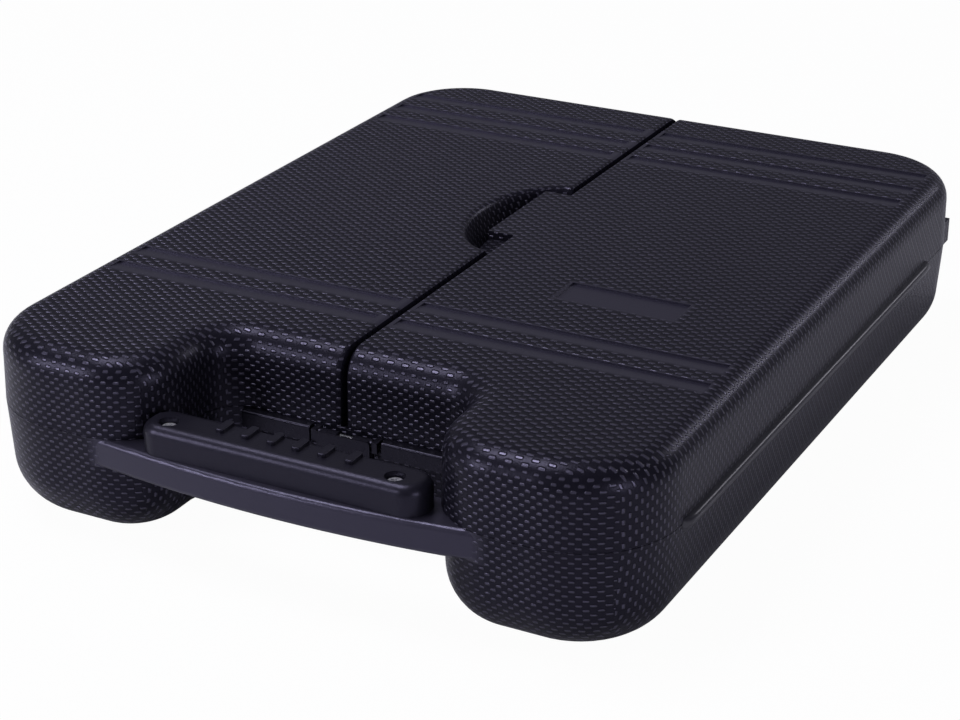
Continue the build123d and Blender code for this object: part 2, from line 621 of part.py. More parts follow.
def sockets():
    """The standing sockets, each in a round pocket."""
    floor = TRAY_TOP_Z - SOCKET_SUNK * HALF_SOCKET_HIGH
    for row, sizes in enumerate(HALF_SOCKETS):
        for column, across in enumerate(sizes):
            x = SOCKET_FIRST_X - SOCKET_PITCH[0] * column
            y = SOCKET_FIRST_Y - SOCKET_PITCH[1] * row
            r = half_socket_r(across)
            form = socket_form(across, r, HALF_SOCKET_HIGH, HALF_SQUARE, min(r, 11.6))
            parts[f"half_socket_{across}mm"] = Pos(x, y, floor) * form
            round_pocket(x, y, r, floor)
    floor = TRAY_TOP_Z - SOCKET_SUNK * QUARTER_SOCKET_HIGH
    placed = []
    for row, sizes in enumerate(QUARTER_SOCKETS):
        for column, across in enumerate(sizes):
            x = RIGHT_EDGE + 16.0 + QUARTER_PITCH[0] * column
            y = QUARTER_ROW_Y - QUARTER_PITCH[1] * row
            r = quarter_socket_r(across)
            form = socket_form(across, r, QUARTER_SOCKET_HIGH, QUARTER_SQUARE, min(r, 6.6))
            placed.append(Pos(x, y, floor) * form)
            round_pocket(x, y, r, floor)
    parts["quarter_sockets"] = Compound(children=placed)


def lay_down(form, x, front, high):
    """Turn a standing piece to lie along Y with its top at the front."""
    return Pos(x, front + high, TOOL_AXIS_Z) * Rot(90, 0, 0) * form


def deep_sockets():
    """Deep sockets and the spark-plug socket, lying side by side along the rear wall."""
    placed = []
    x = -HALF + 17.0
    for across in DEEP_SOCKETS:
        r = half_socket_r(across)
        x += r
        form = socket_form(across, r, DEEP_SOCKET_LONG, HALF_SQUARE, min(r, 11.6))
        placed.append(lay_down(form, x, REAR_IN - DEEP_SOCKET_LONG, DEEP_SOCKET_LONG))
        pocket((x - r, x + r), (REAR_IN - DEEP_SOCKET_LONG, REAR_IN), TOOL_AXIS_Z - r, 4.0)
        x += r + 3.0
    parts["half_deep_sockets"] = Compound(children=placed)
    r, long, across = PLUG_SOCKET["r"], PLUG_SOCKET["long"], PLUG_SOCKET["across"]
    x += r
    form = socket_form(across, r, long, HALF_SQUARE, r)
    sleeve = hexagon_prism(0, 0, across - 0.1, (0.56 * long, 0.8 * long))
    sleeve = sleeve - upright(0, 0, 5.4, (0.5 * long, 0.9 * long))
    parts["spark_plug_socket"] = lay_down(form, x, REAR_IN - long, long)
    parts["spark_plug_insert"] = lay_down(sleeve, x, REAR_IN - long, long)
    pocket((x - r, x + r), (REAR_IN - long, REAR_IN), TOOL_AXIS_Z - r, 4.0)


def square_end(x, y, square, sign):
    """A square drive with its ball, from y outward along the sign."""
    long = 1.1 * square
    far = y + sign * long
    end = block((x - square / 2, x + square / 2), (min(y, far), max(y, far)),
                (TOOL_AXIS_Z - square / 2, TOOL_AXIS_Z + square / 2))
    tip = end.faces().sort_by(Axis.Y)[-1 if sign > 0 else 0]
    end = chamfer(tip.edges(), 0.08 * square)
    return end + Pos(x, y + sign * long / 2, TOOL_AXIS_Z + square / 2) * detent(square)


def extension(name, square, long, x, front):
    """An extension bar along Y: a drive hole at the front, a square drive at the rear."""
    head_r, shank_r = 0.86 * square, 0.5 * square
    head_long = 2.0 * square
    head = round_ends(along_y(x, TOOL_AXIS_Z, head_r, (front, front + head_long)), 0.8)
    solid = head + along_y(x, TOOL_AXIS_Z, shank_r, (front + head_long, front + long - 1.1 * square))
    collar_y = (front + long - 2.4 * square, front + long - 1.1 * square)
    collar = along_y(x, TOOL_AXIS_Z, 0.72 * square, collar_y)
    solid = solid + round_ends(collar, 0.6) + square_end(x, front + long - 1.15 * square, square, 1)
    side = square / 2 + SQUARE_GAP
    hole_z = (TOOL_AXIS_Z - side, TOOL_AXIS_Z + side)
    hole = block((x - side, x + side), (front - 1, front + 1.3 * square), hole_z)
    parts[name] = solid - hole
    pocket((x - head_r, x + head_r), (front, front + head_long), TOOL_AXIS_Z - head_r)
    r = 0.72 * square
    pocket((x - r, x + r), (front + head_long - 2, front + long), TOOL_AXIS_Z - r, 2.5)


def universal_joint(size, square, x, front):
    """A universal joint along Y: two yokes turning on a cross, in a pocket wide enough to swing."""
    r = 0.95 * square
    arm = 2.55 * square  # yoke's end to the cross's middle
    ear, mid, pin_r = 0.28 * square, 0.95 * square / 2, 0.17 * square
    centre = (x, front + arm, TOOL_AXIS_Z)

    def yoke():
        """A yoke along -Y from the cross, at the origin, with its ears above and below."""
        form = round_ends(along_y(0, 0, r, (-arm, 0.30 * square)), 0.7)
        form = form - block((-BIG, BIG), (-1.05 * square, BIG), (-r + ear, r - ear))
        form = form - block((-BIG / 4, -0.52 * square), (-1.05 * square, BIG), (-BIG, BIG))
        form = form - block((0.52 * square, BIG / 4), (-1.05 * square, BIG), (-BIG, BIG))
        return form - upright(0, 0, pin_r + RUNNING, (-BIG, BIG))

    side = square / 2 + SQUARE_GAP
    hole = block((-side, side), (-arm - 1, -arm + 1.25 * square), (-side, side))
    at = Pos(*centre)
    parts[f"{size}_joint_yoke_front"] = at * (yoke() - hole)
    cube = block((-mid, mid), (-mid, mid), (-mid, mid))
    cross = chamfer(cube.edges(), 0.06 * square)
    cross = cross + upright(0, 0, pin_r, (-r + 0.4, r - 0.4)) + along_x(0, 0, pin_r, (-r + 0.4, r - 0.4))
    parts[f"{size}_joint_cross"] = at * cross
    rear = yoke().rotate(Axis.Z, 180).rotate(Axis.Y, 90)
    tip = square_end(0, arm - 0.05 * square, square, 1).translate((0, 0, -TOOL_AXIS_Z))
    parts[f"{size}_joint_yoke_rear"] = at * (rear + tip)
    pocket((x - r, x + r), (front, front + arm), TOOL_AXIS_Z - r)
    reach = (arm + 1.1 * square) * math.sin(math.radians(JOINT_SWING)) + r
    pocket((x - reach, x + reach), (front + arm - r, front + 2 * arm + 1.1 * square + 1), TOOL_AXIS_Z - r)


def t_bar():
    """A sliding T-bar: a round bar with end balls and a slider that carries the square drive."""
    s, x, front = T_BAR, T_BAR_X, FRONT_IN
    y = front + s["long"] / 2
    bar = round_ends(along_y(x, TOOL_AXIS_Z, s["r"], (front, front + s["long"])), 1.5)
    parts["t_bar"] = bar
    half = s["slider_long"] / 2
    slider = round_ends(along_y(x, TOOL_AXIS_Z, s["slider_r"], (y - half, y + half)), 1.5)
    neck = upright(x, y, 9.0, (TOOL_AXIS_Z, TOOL_AXIS_Z + 12.5))
    side = HALF_SQUARE / 2
    drive = block((x - side, x + side), (y - side, y + side), (TOOL_AXIS_Z + 12, TOOL_AXIS_Z + 26.5))
    drive = chamfer(drive.faces().sort_by(Axis.Z)[-1].edges(), 1.0)
    slider = slider + neck + drive
    slider = slider + Pos(x + side, y, TOOL_AXIS_Z + 20) * Rot(0, 90, 0) * detent(HALF_SQUARE)
    slider = slider - along_y(x, TOOL_AXIS_Z, s["r"] + RUNNING, (y - 2 * half, y + 2 * half))
    parts["t_bar_slider"] = slider
    pocket((x - s["r"], x + s["r"]), (front, front + s["long"]), TOOL_AXIS_Z - s["r"], 2.5)
    r, reach = s["slider_r"], s["travel"] + half
    pocket((x - r, x + r), (y - reach, y + reach), TOOL_AXIS_Z - r)


def spinner():
    """The quarter-inch driver handle: a fluted plastic grip on a steel shank."""
    x, front = SPINNER_X, FRONT_IN
    grip_long, long, r, shank_r = [SPINNER[key] for key in ("grip_long", "long", "r", "shank_r")]
    grip = fillet(along_y(x, TOOL_AXIS_Z, r, (front, front + grip_long)).edges(), 5.5)
    for n in range(SPINNER["flutes"]):
        a = 2 * math.pi * n / SPINNER["flutes"]
        flute = along_y(x + (r + 2.2) * math.cos(a), TOOL_AXIS_Z + (r + 2.2) * math.sin(a), 3.6,
                        (front + 14, front + grip_long - 16))
        grip = grip - flute
    grip = grip - along_y(x, TOOL_AXIS_Z, shank_r, (front + 30, front + grip_long + 1))
    shank = along_y(x, TOOL_AXIS_Z, shank_r, (front + 30, front + long - 8))
    shank = shank + square_end(x, front + long - 8.2, QUARTER_SQUARE, 1)
    parts["spinner_grip"] = grip
    parts["spinner_shank"] = shank
    pocket((x - r, x + r), (front, front + grip_long), TOOL_AXIS_Z - r)
    pocket((x - 6, x + 6), (front + grip_long - 4, front + long), TOOL_AXIS_Z - 6)


def bit_set():
    """Screwdriver bits standing in a holder, two rows of them."""
    columns, rows = BIT_GRID
    floor = TRAY_TOP_Z - BIT_HOLDER_HIGH + 5
    wide, long = columns * BIT_PITCH, rows * BIT_PITCH
    x0, y0 = BIT_HOLDER_X, FRONT_IN
    holder = slot((x0, x0 + wide), (y0, y0 + long), (floor, floor + BIT_HOLDER_HIGH), 2.0)
    holder = chamfer(holder.faces().sort_by(Axis.Z)[-1].edges(), 0.8)
    seat = floor + 4
    bits = []
    for column in range(columns):
        for row in range(rows):
            x = x0 + BIT_PITCH * (column + 0.5)
            y = y0 + BIT_PITCH * (row + 0.5)
            holder = holder - hexagon_prism(x, y, BIT_ACROSS + 2 * RUNNING, (seat, TRAY_TOP_Z + 30))
            shank = hexagon_prism(x, y, BIT_ACROSS, (seat, seat + 16))
            tip = Pos(x, y, seat + 21) * Cone(2.6, 1.1 + 0.09 * row, 10)
            bits.append(shank + tip)
    parts["bit_holder"] = holder
    parts["bits"] = Compound(children=bits)
    pocket((x0, x0 + wide), (y0, y0 + long), floor, 2.0)


def tray(side):
    """One of the two trays: a plate with a pocket for every tool, on posts that stand on the floor."""
    sink = (PARTING_Z - TRAY_TOP_Z + 3 * TRAY_WALL) * math.tan(math.radians(BASE_DRAFT))
    face = Pos(0, 0, TRAY_TOP_Z - TRAY_PLATE) * outline(WALL + TRAY_EDGE_GAP + sink)
    plate = extrude(face, amount=TRAY_PLATE)
    posts = [upright(x, y, POST_R, (WALL, TRAY_TOP_Z - 1)) for x, y in TRAY_POSTS]
    form = plate + [outer for outer, _ in pockets] + posts
    form = form - [inner for _, inner in pockets]
    form = form - block(TONGUE_ROOM_X, (-BIG / 2, BAY_BACK_Y + WALL + TONGUE_ROOM), (0, PARTING_Z))
    if side == "left":
        return form & left_of(SPLIT_X - TRAY_SPLIT_GAP / 2)
    return form & right_of(SPLIT_X + TRAY_SPLIT_GAP / 2)


def main():
    os.makedirs("parts", exist_ok=True)
    for side, sign in (("left", -1), ("right", 1)):
        parts[f"lid_{side}_shell"] = lid_shell(side)
        parts[f"lid_{side}_liner"] = lid_liner(side)
        parts[f"hinge_strip_{side}"] = hinge_strip(sign)
    parts["base_shell"] = base_shell()
    parts["rear_bumpers"] = rear_bumpers()
    parts["handle_grip"] = handle_grip()
    parts["handle_screws"] = Compound(children=[handle_screw(x) for x in SCREW_X])
    parts["latch_frame"] = latch_frame()
    parts["latch_flap"] = latch_flap()
    parts["latch_pin"] = latch_pin()
    parts["latch_spring"] = latch_spring()
    ratchet("half", HALF_RATCHET, HALF_RATCHET_X, LEG_IN)
    ratchet("quarter", QUARTER_RATCHET, QUARTER_RATCHET_X, LEG_IN)
    sockets()
    deep_sockets()
    extension("half_extension_long", HALF_SQUARE, 250.0, HALF_LONG_X, FRONT_IN)
    extension("half_extension_short", HALF_SQUARE, 75.0, SHORT_X, FRONT_IN + 79.0)
    extension("quarter_extension_long", QUARTER_SQUARE, 150.0, QUARTER_LONG_X, FRONT_IN)
    extension("quarter_extension_short", QUARTER_SQUARE, 75.0, QUARTER_SHORT_X, FRONT_IN + 52.0)
    universal_joint("half", HALF_SQUARE, HALF_JOINT_X, FRONT_IN)
    universal_joint("quarter", QUARTER_SQUARE, QUARTER_SHORT_X, FRONT_IN)
    t_bar()
    spinner()
    bit_set()
    parts["tray_left"] = tray("left")
    parts["tray_right"] = tray("right")
    for name, shape in parts.items():
        export_step(shape, f"parts/{name}.step")


base_outside = tub(0)
main()
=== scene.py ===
import bmesh
import bpy
import math
from mathutils import Matrix, Vector


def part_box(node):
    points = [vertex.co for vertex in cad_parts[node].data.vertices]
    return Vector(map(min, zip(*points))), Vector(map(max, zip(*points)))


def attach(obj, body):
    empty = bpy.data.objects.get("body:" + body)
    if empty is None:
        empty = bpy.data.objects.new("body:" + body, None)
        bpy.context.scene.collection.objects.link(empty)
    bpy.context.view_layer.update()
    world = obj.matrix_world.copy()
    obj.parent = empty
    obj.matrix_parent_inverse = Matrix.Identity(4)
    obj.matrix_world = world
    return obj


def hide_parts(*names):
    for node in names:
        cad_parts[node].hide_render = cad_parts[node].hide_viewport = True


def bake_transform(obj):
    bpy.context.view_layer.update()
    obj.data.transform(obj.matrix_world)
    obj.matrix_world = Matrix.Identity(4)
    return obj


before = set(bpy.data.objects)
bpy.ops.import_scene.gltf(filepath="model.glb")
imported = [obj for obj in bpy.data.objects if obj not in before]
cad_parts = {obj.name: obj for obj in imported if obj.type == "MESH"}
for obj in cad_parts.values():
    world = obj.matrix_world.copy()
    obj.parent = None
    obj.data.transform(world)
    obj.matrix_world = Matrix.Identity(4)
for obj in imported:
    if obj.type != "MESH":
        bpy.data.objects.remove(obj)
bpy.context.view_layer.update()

# ---- camera, lamps and floor ----
# A long lens looks down on the closed case from its front right. A pale surround and four soft
# boxes light it. The floor is a plain white sheet.
VIEW_AZIMUTH, VIEW_ELEVATION, VIEW_ROLL = math.radians(27.481), math.radians(24.030), math.radians(0.096)
VIEW_TARGET = Vector((-0.01744, 0.0016, 0.01757))
VIEW_DISTANCE = 1.1015
turn = Matrix.Rotation(VIEW_AZIMUTH, 4, "Z") @ Matrix.Rotation(math.pi / 2 - VIEW_ELEVATION, 4, "X")
turn = turn @ Matrix.Rotation(VIEW_ROLL, 4, "Z")
bpy.ops.object.camera_add()
camera = bpy.context.object
camera.matrix_world = Matrix.Translation(VIEW_TARGET + turn.to_3x3() @ Vector((0, 0, VIEW_DISTANCE))) @ turn
camera.data.lens = 86.78
camera.data.sensor_width = 36.0
camera.data.clip_end = 30.0
bpy.context.scene.camera = camera
bpy.context.scene.view_settings.view_transform = "Standard"


def soft_box(name, place, size, watts):
    """A square soft lamp that faces the case."""
    bpy.ops.object.light_add(type="AREA", location=place)
    lamp = bpy.context.object
    lamp.name = name
    lamp.data.size = size
    lamp.data.energy = watts
    lamp.data.color = (0.90, 0.89, 1.0)
    lamp.rotation_euler = (Vector((0, 0, 0.05)) - Vector(place)).to_track_quat("-Z", "Y").to_euler()


soft_box("lamp_over", (-0.50, -0.20, 1.5), 0.6, 13.5)
soft_box("lamp_front_left", (-1.2, -1.5, 0.8), 0.6, 15.5)
soft_box("lamp_right", (1.9, -0.9, 0.45), 0.6, 8.5)
soft_box("lamp_back_right", (0.95, 1.9, 0.95), 0.3, 4.5)


def seen_white(tree, shader, share):
    """Mix a shader with plain white, which only the camera sees, and return the mix."""
    white = tree.nodes.new("ShaderNodeEmission" if tree is not bpy.context.scene.world.node_tree
                           else "ShaderNodeBackground")
    white.inputs["Color"].default_value = (1, 1, 1, 1)
    path = tree.nodes.new("ShaderNodeLightPath")
    part = tree.nodes.new("ShaderNodeMath")
    part.operation = "MULTIPLY"
    part.inputs[1].default_value = share
    tree.links.new(path.outputs["Is Camera Ray"], part.inputs[0])
    mix = tree.nodes.new("ShaderNodeMixShader")
    tree.links.new(part.outputs[0], mix.inputs[0])
    tree.links.new(shader, mix.inputs[1])
    tree.links.new(white.outputs[0], mix.inputs[2])
    return mix.outputs[0]


bpy.context.scene.world = bpy.data.worlds.new("surround")
bpy.context.scene.world.use_nodes = True
surround = bpy.context.scene.world.node_tree
surround.nodes["Background"].inputs["Color"].default_value = (0.86, 0.85, 1.0, 1)
surround.nodes["Background"].inputs["Strength"].default_value = 0.18
surround.links.new(seen_white(surround, surround.nodes["Background"].outputs[0], 1.0),
                   surround.nodes["World Output"].inputs["Surface"])

bpy.ops.mesh.primitive_plane_add(size=14, location=(0, 0, -0.0004))
floor = bpy.context.object
floor.name = "floor"
sheet = bpy.data.materials.new("white_sheet")
sheet.use_nodes = True
sheet.node_tree.nodes["Principled BSDF"].inputs["Base Color"].default_value = (0.78, 0.78, 0.79, 1)
sheet.node_tree.nodes["Principled BSDF"].inputs["Roughness"].default_value = 0.9
sheet.node_tree.links.new(
    seen_white(sheet.node_tree, sheet.node_tree.nodes["Principled BSDF"].outputs[0], 0.97),
    sheet.node_tree.nodes["Material Output"].inputs["Surface"])
floor.data.materials.append(sheet)

# ---- case shells ----
# The base and the two lids are blow-moulded in black plastic. The mould is etched with rows of
# small raised capsules, and is left smooth in the grooves, the label's recess and the carry bar.
CAPSULES_ON_TOP = {"Pitch": 0.0069, "Row": 0.0022, "Long": 0.0036, "Wide": 0.0017}
CAPSULES_ON_WALL = {"Pitch": 0.0049, "Row": 0.0021, "Long": 0.0025, "Wide": 0.0012}
CAPSULE_HIGH = 0.0008
LIDS_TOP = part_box("lid_left_shell")[1].z
LEGS_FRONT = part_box("lid_left_shell")[0].y
CASE_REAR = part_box("base_shell")[1].y
GROOVES_FROM_FRONT = (0.1142, 0.0942)
GROOVES_FROM_REAR = (0.0388, 0.0598, 0.0798)
GROOVE_WIDE = 0.0088
GROOVE_ENDS = 0.1430
SOFT_EDGE = 0.0022
# Painted shade: across this span, from the middle of the case, the gap between the lids is painted dark.
SLIT_SHADE_SPAN = (-0.0042, -0.0002)  # across, from the middle of the case
LABEL = {"x": (0.0485, 0.1045), "y": (-0.056, -0.0364)}
BAR_REACH = 0.085
BAR_FADE = 0.009
BAR_DEEP = 0.022
BAR_Z = (0.036, 0.0494)
ON_TOP = 0.004  # how far below the lids' top the grooves and the label reach
FACES_UP = 0.72  # where a face turns from a wall to a top


def calc(tree, kind, *values):
    """A Math node fed with numbers or with other nodes' outputs."""
    node = tree.nodes.new("ShaderNodeMath")
    node.operation = kind
    for socket, value in zip(node.inputs, values):
        if isinstance(value, (int, float)):
            socket.default_value = value
        else:
            tree.links.new(value, socket)
    return node.outputs[0]


def within(tree, value, low, high):
    """1 where a value lies between two limits, otherwise 0."""
    above = calc(tree, "GREATER_THAN", value, low)
    return calc(tree, "MULTIPLY", above, calc(tree, "LESS_THAN", value, high))


def new_group(name, inputs, outputs):
    """A shader node group with named float inputs, and outputs given as (name, socket type)."""
    group = bpy.data.node_groups.new(name, "ShaderNodeTree")
    for label, value in inputs.items():
        socket = group.interface.new_socket(label, in_out="INPUT", socket_type="NodeSocketFloat")
        socket.default_value = value
    for label, kind in outputs:
        group.interface.new_socket(label, in_out="OUTPUT", socket_type=kind)
    return group, group.nodes.new("NodeGroupInput").outputs, group.nodes.new("NodeGroupOutput").inputs


def capsule_rows():
    """Staggered rows of raised capsules: 1 on top of each, falling smoothly to 0 round it."""
    sizes = {"Along": 0, "Across": 0, "Pitch": 0.007, "Row": 0.0022, "Long": 0.0034, "Wide": 0.0017}
    group, given, out = new_group("capsule_rows", sizes, [("Raised", "NodeSocketFloat")])
    row = calc(group, "DIVIDE", given["Across"], given["Row"])
    stagger = calc(group, "MULTIPLY", calc(group, "FLOORED_MODULO", calc(group, "FLOOR", row), 2.0), 0.5)
    step = calc(group, "ADD", calc(group, "DIVIDE", given["Along"], given["Pitch"]), stagger)
    along = calc(group, "SUBTRACT", calc(group, "FLOORED_MODULO", step, 1.0), 0.5)
    along = calc(group, "ABSOLUTE", calc(group, "MULTIPLY", along, given["Pitch"]))
    straight = calc(group, "MULTIPLY", calc(group, "SUBTRACT", given["Long"], given["Wide"]), 0.5)
    beyond = calc(group, "MAXIMUM", calc(group, "SUBTRACT", along, straight), 0.0)
    across = calc(group, "SUBTRACT", calc(group, "FLOORED_MODULO", row, 1.0), 0.5)
    across = calc(group, "MULTIPLY", across, given["Row"])
    squares = calc(group, "MULTIPLY_ADD", beyond, beyond, calc(group, "MULTIPLY", across, across))
    away = calc(group, "SQRT", squares)
    fall = group.nodes.new("ShaderNodeMapRange")
    fall.interpolation_type = "SMOOTHSTEP"
    group.links.new(away, fall.inputs["Value"])
    group.links.new(calc(group, "MULTIPLY", given["Wide"], 0.22), fall.inputs["From Min"])
    group.links.new(calc(group, "MULTIPLY", given["Wide"], 0.56), fall.inputs["From Max"])
    fall.inputs["To Min"].default_value = 1.0
    fall.inputs["To Max"].default_value = 0.0
    group.links.new(fall.outputs["Result"], out["Raised"])
    return group


def moulded_grain():
    """The mould's etched grain over the case, where the mould is smooth, and a mask for painted shade in
    the gap between the lids.
    """
    rows = capsule_rows()
    masks = [(label, "NodeSocketFloat") for label in ("Raised", "Smooth", "Slit Shade")]
    group, _, out = new_group("moulded_grain", {}, masks)
    place = group.nodes.new("ShaderNodeTexCoord")
    at = group.nodes.new("ShaderNodeSeparateXYZ")
    facing = group.nodes.new("ShaderNodeSeparateXYZ")
    group.links.new(place.outputs["Object"], at.inputs[0])
    group.links.new(place.outputs["Normal"], facing.inputs[0])
    x, y, z = at.outputs
    fx, fy, fz = [calc(group, "ABSOLUTE", axis) for axis in facing.outputs]

    def patch(along, across, sizes):
        """Rows of capsules of the given sizes, laid out on two axes."""
        node = group.nodes.new("ShaderNodeGroup")
        node.node_tree = rows
        group.links.new(along, node.inputs["Along"])
        group.links.new(across, node.inputs["Across"])
        for label, value in sizes.items():
            node.inputs[label].default_value = value
        return node.outputs["Raised"]

    def choose(mask, yes, no):
        """One value where a mask is 1 and another where it is 0."""
        return calc(group, "MULTIPLY_ADD", mask, calc(group, "SUBTRACT", yes, no), no)

    top = patch(x, y, CAPSULES_ON_TOP)
    front = patch(x, z, CAPSULES_ON_WALL)
    side = patch(z, y, CAPSULES_ON_WALL)
    wall = choose(calc(group, "GREATER_THAN", fx, fy), side, front)
    raised = choose(calc(group, "GREATER_THAN", fz, FACES_UP), top, wall)

    def outside(value, low, high):
        """How far a value lies outside two limits, negative between them."""
        away = calc(group, "ABSOLUTE", calc(group, "SUBTRACT", value, (low + high) / 2))
        return calc(group, "SUBTRACT", away, (high - low) / 2)

    def fading(distance, soft):
        """1 down to 0 as a distance grows from nothing to the soft edge's width."""
        fade = group.nodes.new("ShaderNodeMapRange")
        fade.interpolation_type = "SMOOTHSTEP"
        group.links.new(distance, fade.inputs["Value"])
        fade.inputs["From Min"].default_value = 0.0
        fade.inputs["From Max"].default_value = soft
        fade.inputs["To Min"].default_value = 1.0
        fade.inputs["To Max"].default_value = 0.0
        return fade.outputs["Result"]

    on_top = calc(group, "GREATER_THAN", z, LIDS_TOP - ON_TOP)
    half = GROOVE_WIDE / 2
    middles = [LEGS_FRONT + d for d in GROOVES_FROM_FRONT] + [CASE_REAR - d for d in GROOVES_FROM_REAR]
    groove = outside(y, middles[0] - half, middles[0] + half)
    for middle in middles[1:]:
        groove = calc(group, "MINIMUM", groove, outside(y, middle - half, middle + half))
    groove = calc(group, "MAXIMUM", groove, outside(x, -GROOVE_ENDS, GROOVE_ENDS))
    label = calc(group, "MAXIMUM", outside(x, *LABEL["x"]), outside(y, *LABEL["y"]))
    smooth = calc(group, "MULTIPLY", fading(calc(group, "MINIMUM", groove, label), SOFT_EDGE), on_top)
    bar = fading(outside(x, -BAR_REACH, BAR_REACH), BAR_FADE)
    bar = calc(group, "MULTIPLY", bar, within(group, z, *BAR_Z))
    bar = calc(group, "MULTIPLY", bar, calc(group, "LESS_THAN", y, LEGS_FRONT + BAR_DEEP))
    smooth = calc(group, "MAXIMUM", smooth, bar)
    split = calc(group, "MULTIPLY", calc(group, "GREATER_THAN", fx, 0.95),
                 calc(group, "LESS_THAN", calc(group, "ABSOLUTE", x), 0.02))
    smooth = calc(group, "MAXIMUM", smooth, split)
    # Painted shade in the gap between the lids, on the faces there that turn sideways.
    slit_shade = calc(group, "MULTIPLY", within(group, x, *SLIT_SHADE_SPAN), calc(group, "GREATER_THAN", fx, 0.3))
    group.links.new(slit_shade, out["Slit Shade"])
    group.links.new(smooth, out["Smooth"])
    group.links.new(calc(group, "MULTIPLY", raised, calc(group, "SUBTRACT", 1.0, smooth)), out["Raised"])
    return group


def mottle():
    """Slow cloudy variation and fine speckle, both from 0 to 1, for plastic and for steel."""
    group, given, out = new_group("mottle", {"Cloud Scale": 18.0, "Speckle Scale": 900.0},
                                  [("Cloud", "NodeSocketFloat"), ("Speckle", "NodeSocketFloat")])
    place = group.nodes.new("ShaderNodeTexCoord")
    for label, detail in (("Cloud", 3.0), ("Speckle", 2.0)):
        noise = group.nodes.new("ShaderNodeTexNoise")
        noise.inputs["Detail"].default_value = detail
        group.links.new(place.outputs["Object"], noise.inputs["Vector"])
        group.links.new(given[label + " Scale"], noise.inputs["Scale"])
        group.links.new(noise.outputs["Fac"], out[label])
    return group


def finish_material(name, dark, light, rough, mottled, scales=(18.0, 900.0)):
    """A material between two colours and two roughnesses, following the mottle's cloud and speckle."""
    material = bpy.data.materials.new(name)
    material.use_nodes = True
    tree = material.node_tree
    node = tree.nodes.new("ShaderNodeGroup")
    node.node_tree = mottled
    node.inputs["Cloud Scale"].default_value = scales[0]
    node.inputs["Speckle Scale"].default_value = scales[1]
    shader = tree.nodes["Principled BSDF"]
    colour = tree.nodes.new("ShaderNodeMix")
    colour.data_type = "RGBA"
    colour.inputs[6].default_value = (*dark, 1)
    colour.inputs[7].default_value = (*light, 1)
    tree.links.new(node.outputs["Cloud"], colour.inputs[0])
    tree.links.new(colour.outputs[2], shader.inputs["Base Color"])
    spread = calc(tree, "MULTIPLY_ADD", node.outputs["Speckle"], rough[1] - rough[0], rough[0])
    tree.links.new(spread, shader.inputs["Roughness"])
    return material, shader, node


def speckle_bump(material, shader, node, high):
    """Raise a surface by its mottle's speckle."""
    bump = material.node_tree.nodes.new("ShaderNodeBump")
    bump.inputs["Distance"].default_value = high
    material.node_tree.links.new(node.outputs["Speckle"], bump.inputs["Height"])
    material.node_tree.links.new(bump.outputs["Normal"], shader.inputs["Normal"])


MOTTLE = mottle()
BLUE_SHEEN = (0.74, 0.70, 1.0, 1)
# The case's base colour carries painted light: the capsule tops are painted lighter as a painted highlight,
# and the pits between them stay dark as painted shade. SMOOTH_SHARE puts the smooth places at a middle tone
# between the two.
SMOOTH_SHARE = 0.55  # how light the smooth places are, between the pits and the capsules
case_black, case_shader, case_mottle = finish_material(
    "case_black", (0.0050, 0.0046, 0.0080), (0.0070, 0.0066, 0.0105), (0.26, 0.40), MOTTLE, (14.0, 1400.0))
case_tree = case_black.node_tree
grain = case_tree.nodes.new("ShaderNodeGroup")
grain.node_tree = moulded_grain()
# Painted highlight on the capsule tops and painted shade in the pits: this mask mixes the base colour
# towards a lighter colour and raises the gloss with it.
painted_capsule_light = calc(case_tree, "MULTIPLY_ADD", grain.outputs["Smooth"], SMOOTH_SHARE, grain.outputs["Raised"])
# In the gap between the lids the colour is painted dark and the gloss is taken away: painted shade.
lit = calc(case_tree, "SUBTRACT", 1.0, grain.outputs["Slit Shade"])
painted_capsule_light = calc(case_tree, "MULTIPLY", painted_capsule_light, lit)
painted_light_mix = case_tree.nodes.new("ShaderNodeMix")
painted_light_mix.data_type = "RGBA"
# The lighter colour of the painted highlight on the capsules.
painted_light_mix.inputs[7].default_value = (0.030, 0.028, 0.042, 1)
case_tree.links.new(painted_capsule_light, painted_light_mix.inputs[0])
case_tree.links.new(case_shader.inputs["Base Color"].links[0].from_socket, painted_light_mix.inputs[6])
case_tree.links.new(painted_light_mix.outputs[2], case_shader.inputs["Base Color"])
gloss = calc(case_tree, "MULTIPLY", calc(case_tree, "MULTIPLY_ADD", painted_capsule_light, 0.66, 0.20), lit)
case_tree.links.new(gloss, case_shader.inputs["Specular IOR Level"])
case_shader.inputs["Specular Tint"].default_value = BLUE_SHEEN
height = calc(case_tree, "MULTIPLY_ADD", case_mottle.outputs["Speckle"], 0.08, grain.outputs["Raised"])
relief = case_tree.nodes.new("ShaderNodeBump")
relief.inputs["Distance"].default_value = CAPSULE_HIGH
case_tree.links.new(height, relief.inputs["Height"])
case_tree.links.new(relief.outputs["Normal"], case_shader.inputs["Normal"])


def dress(material, *names):
    """Give CAD nodes their material."""
    for name in names:
        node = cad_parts[name]
        node.data.materials.clear()
        node.data.materials.append(material)


dress(case_black, "base_shell", "lid_left_shell", "lid_right_shell")
dress(case_black, "rear_bumpers")

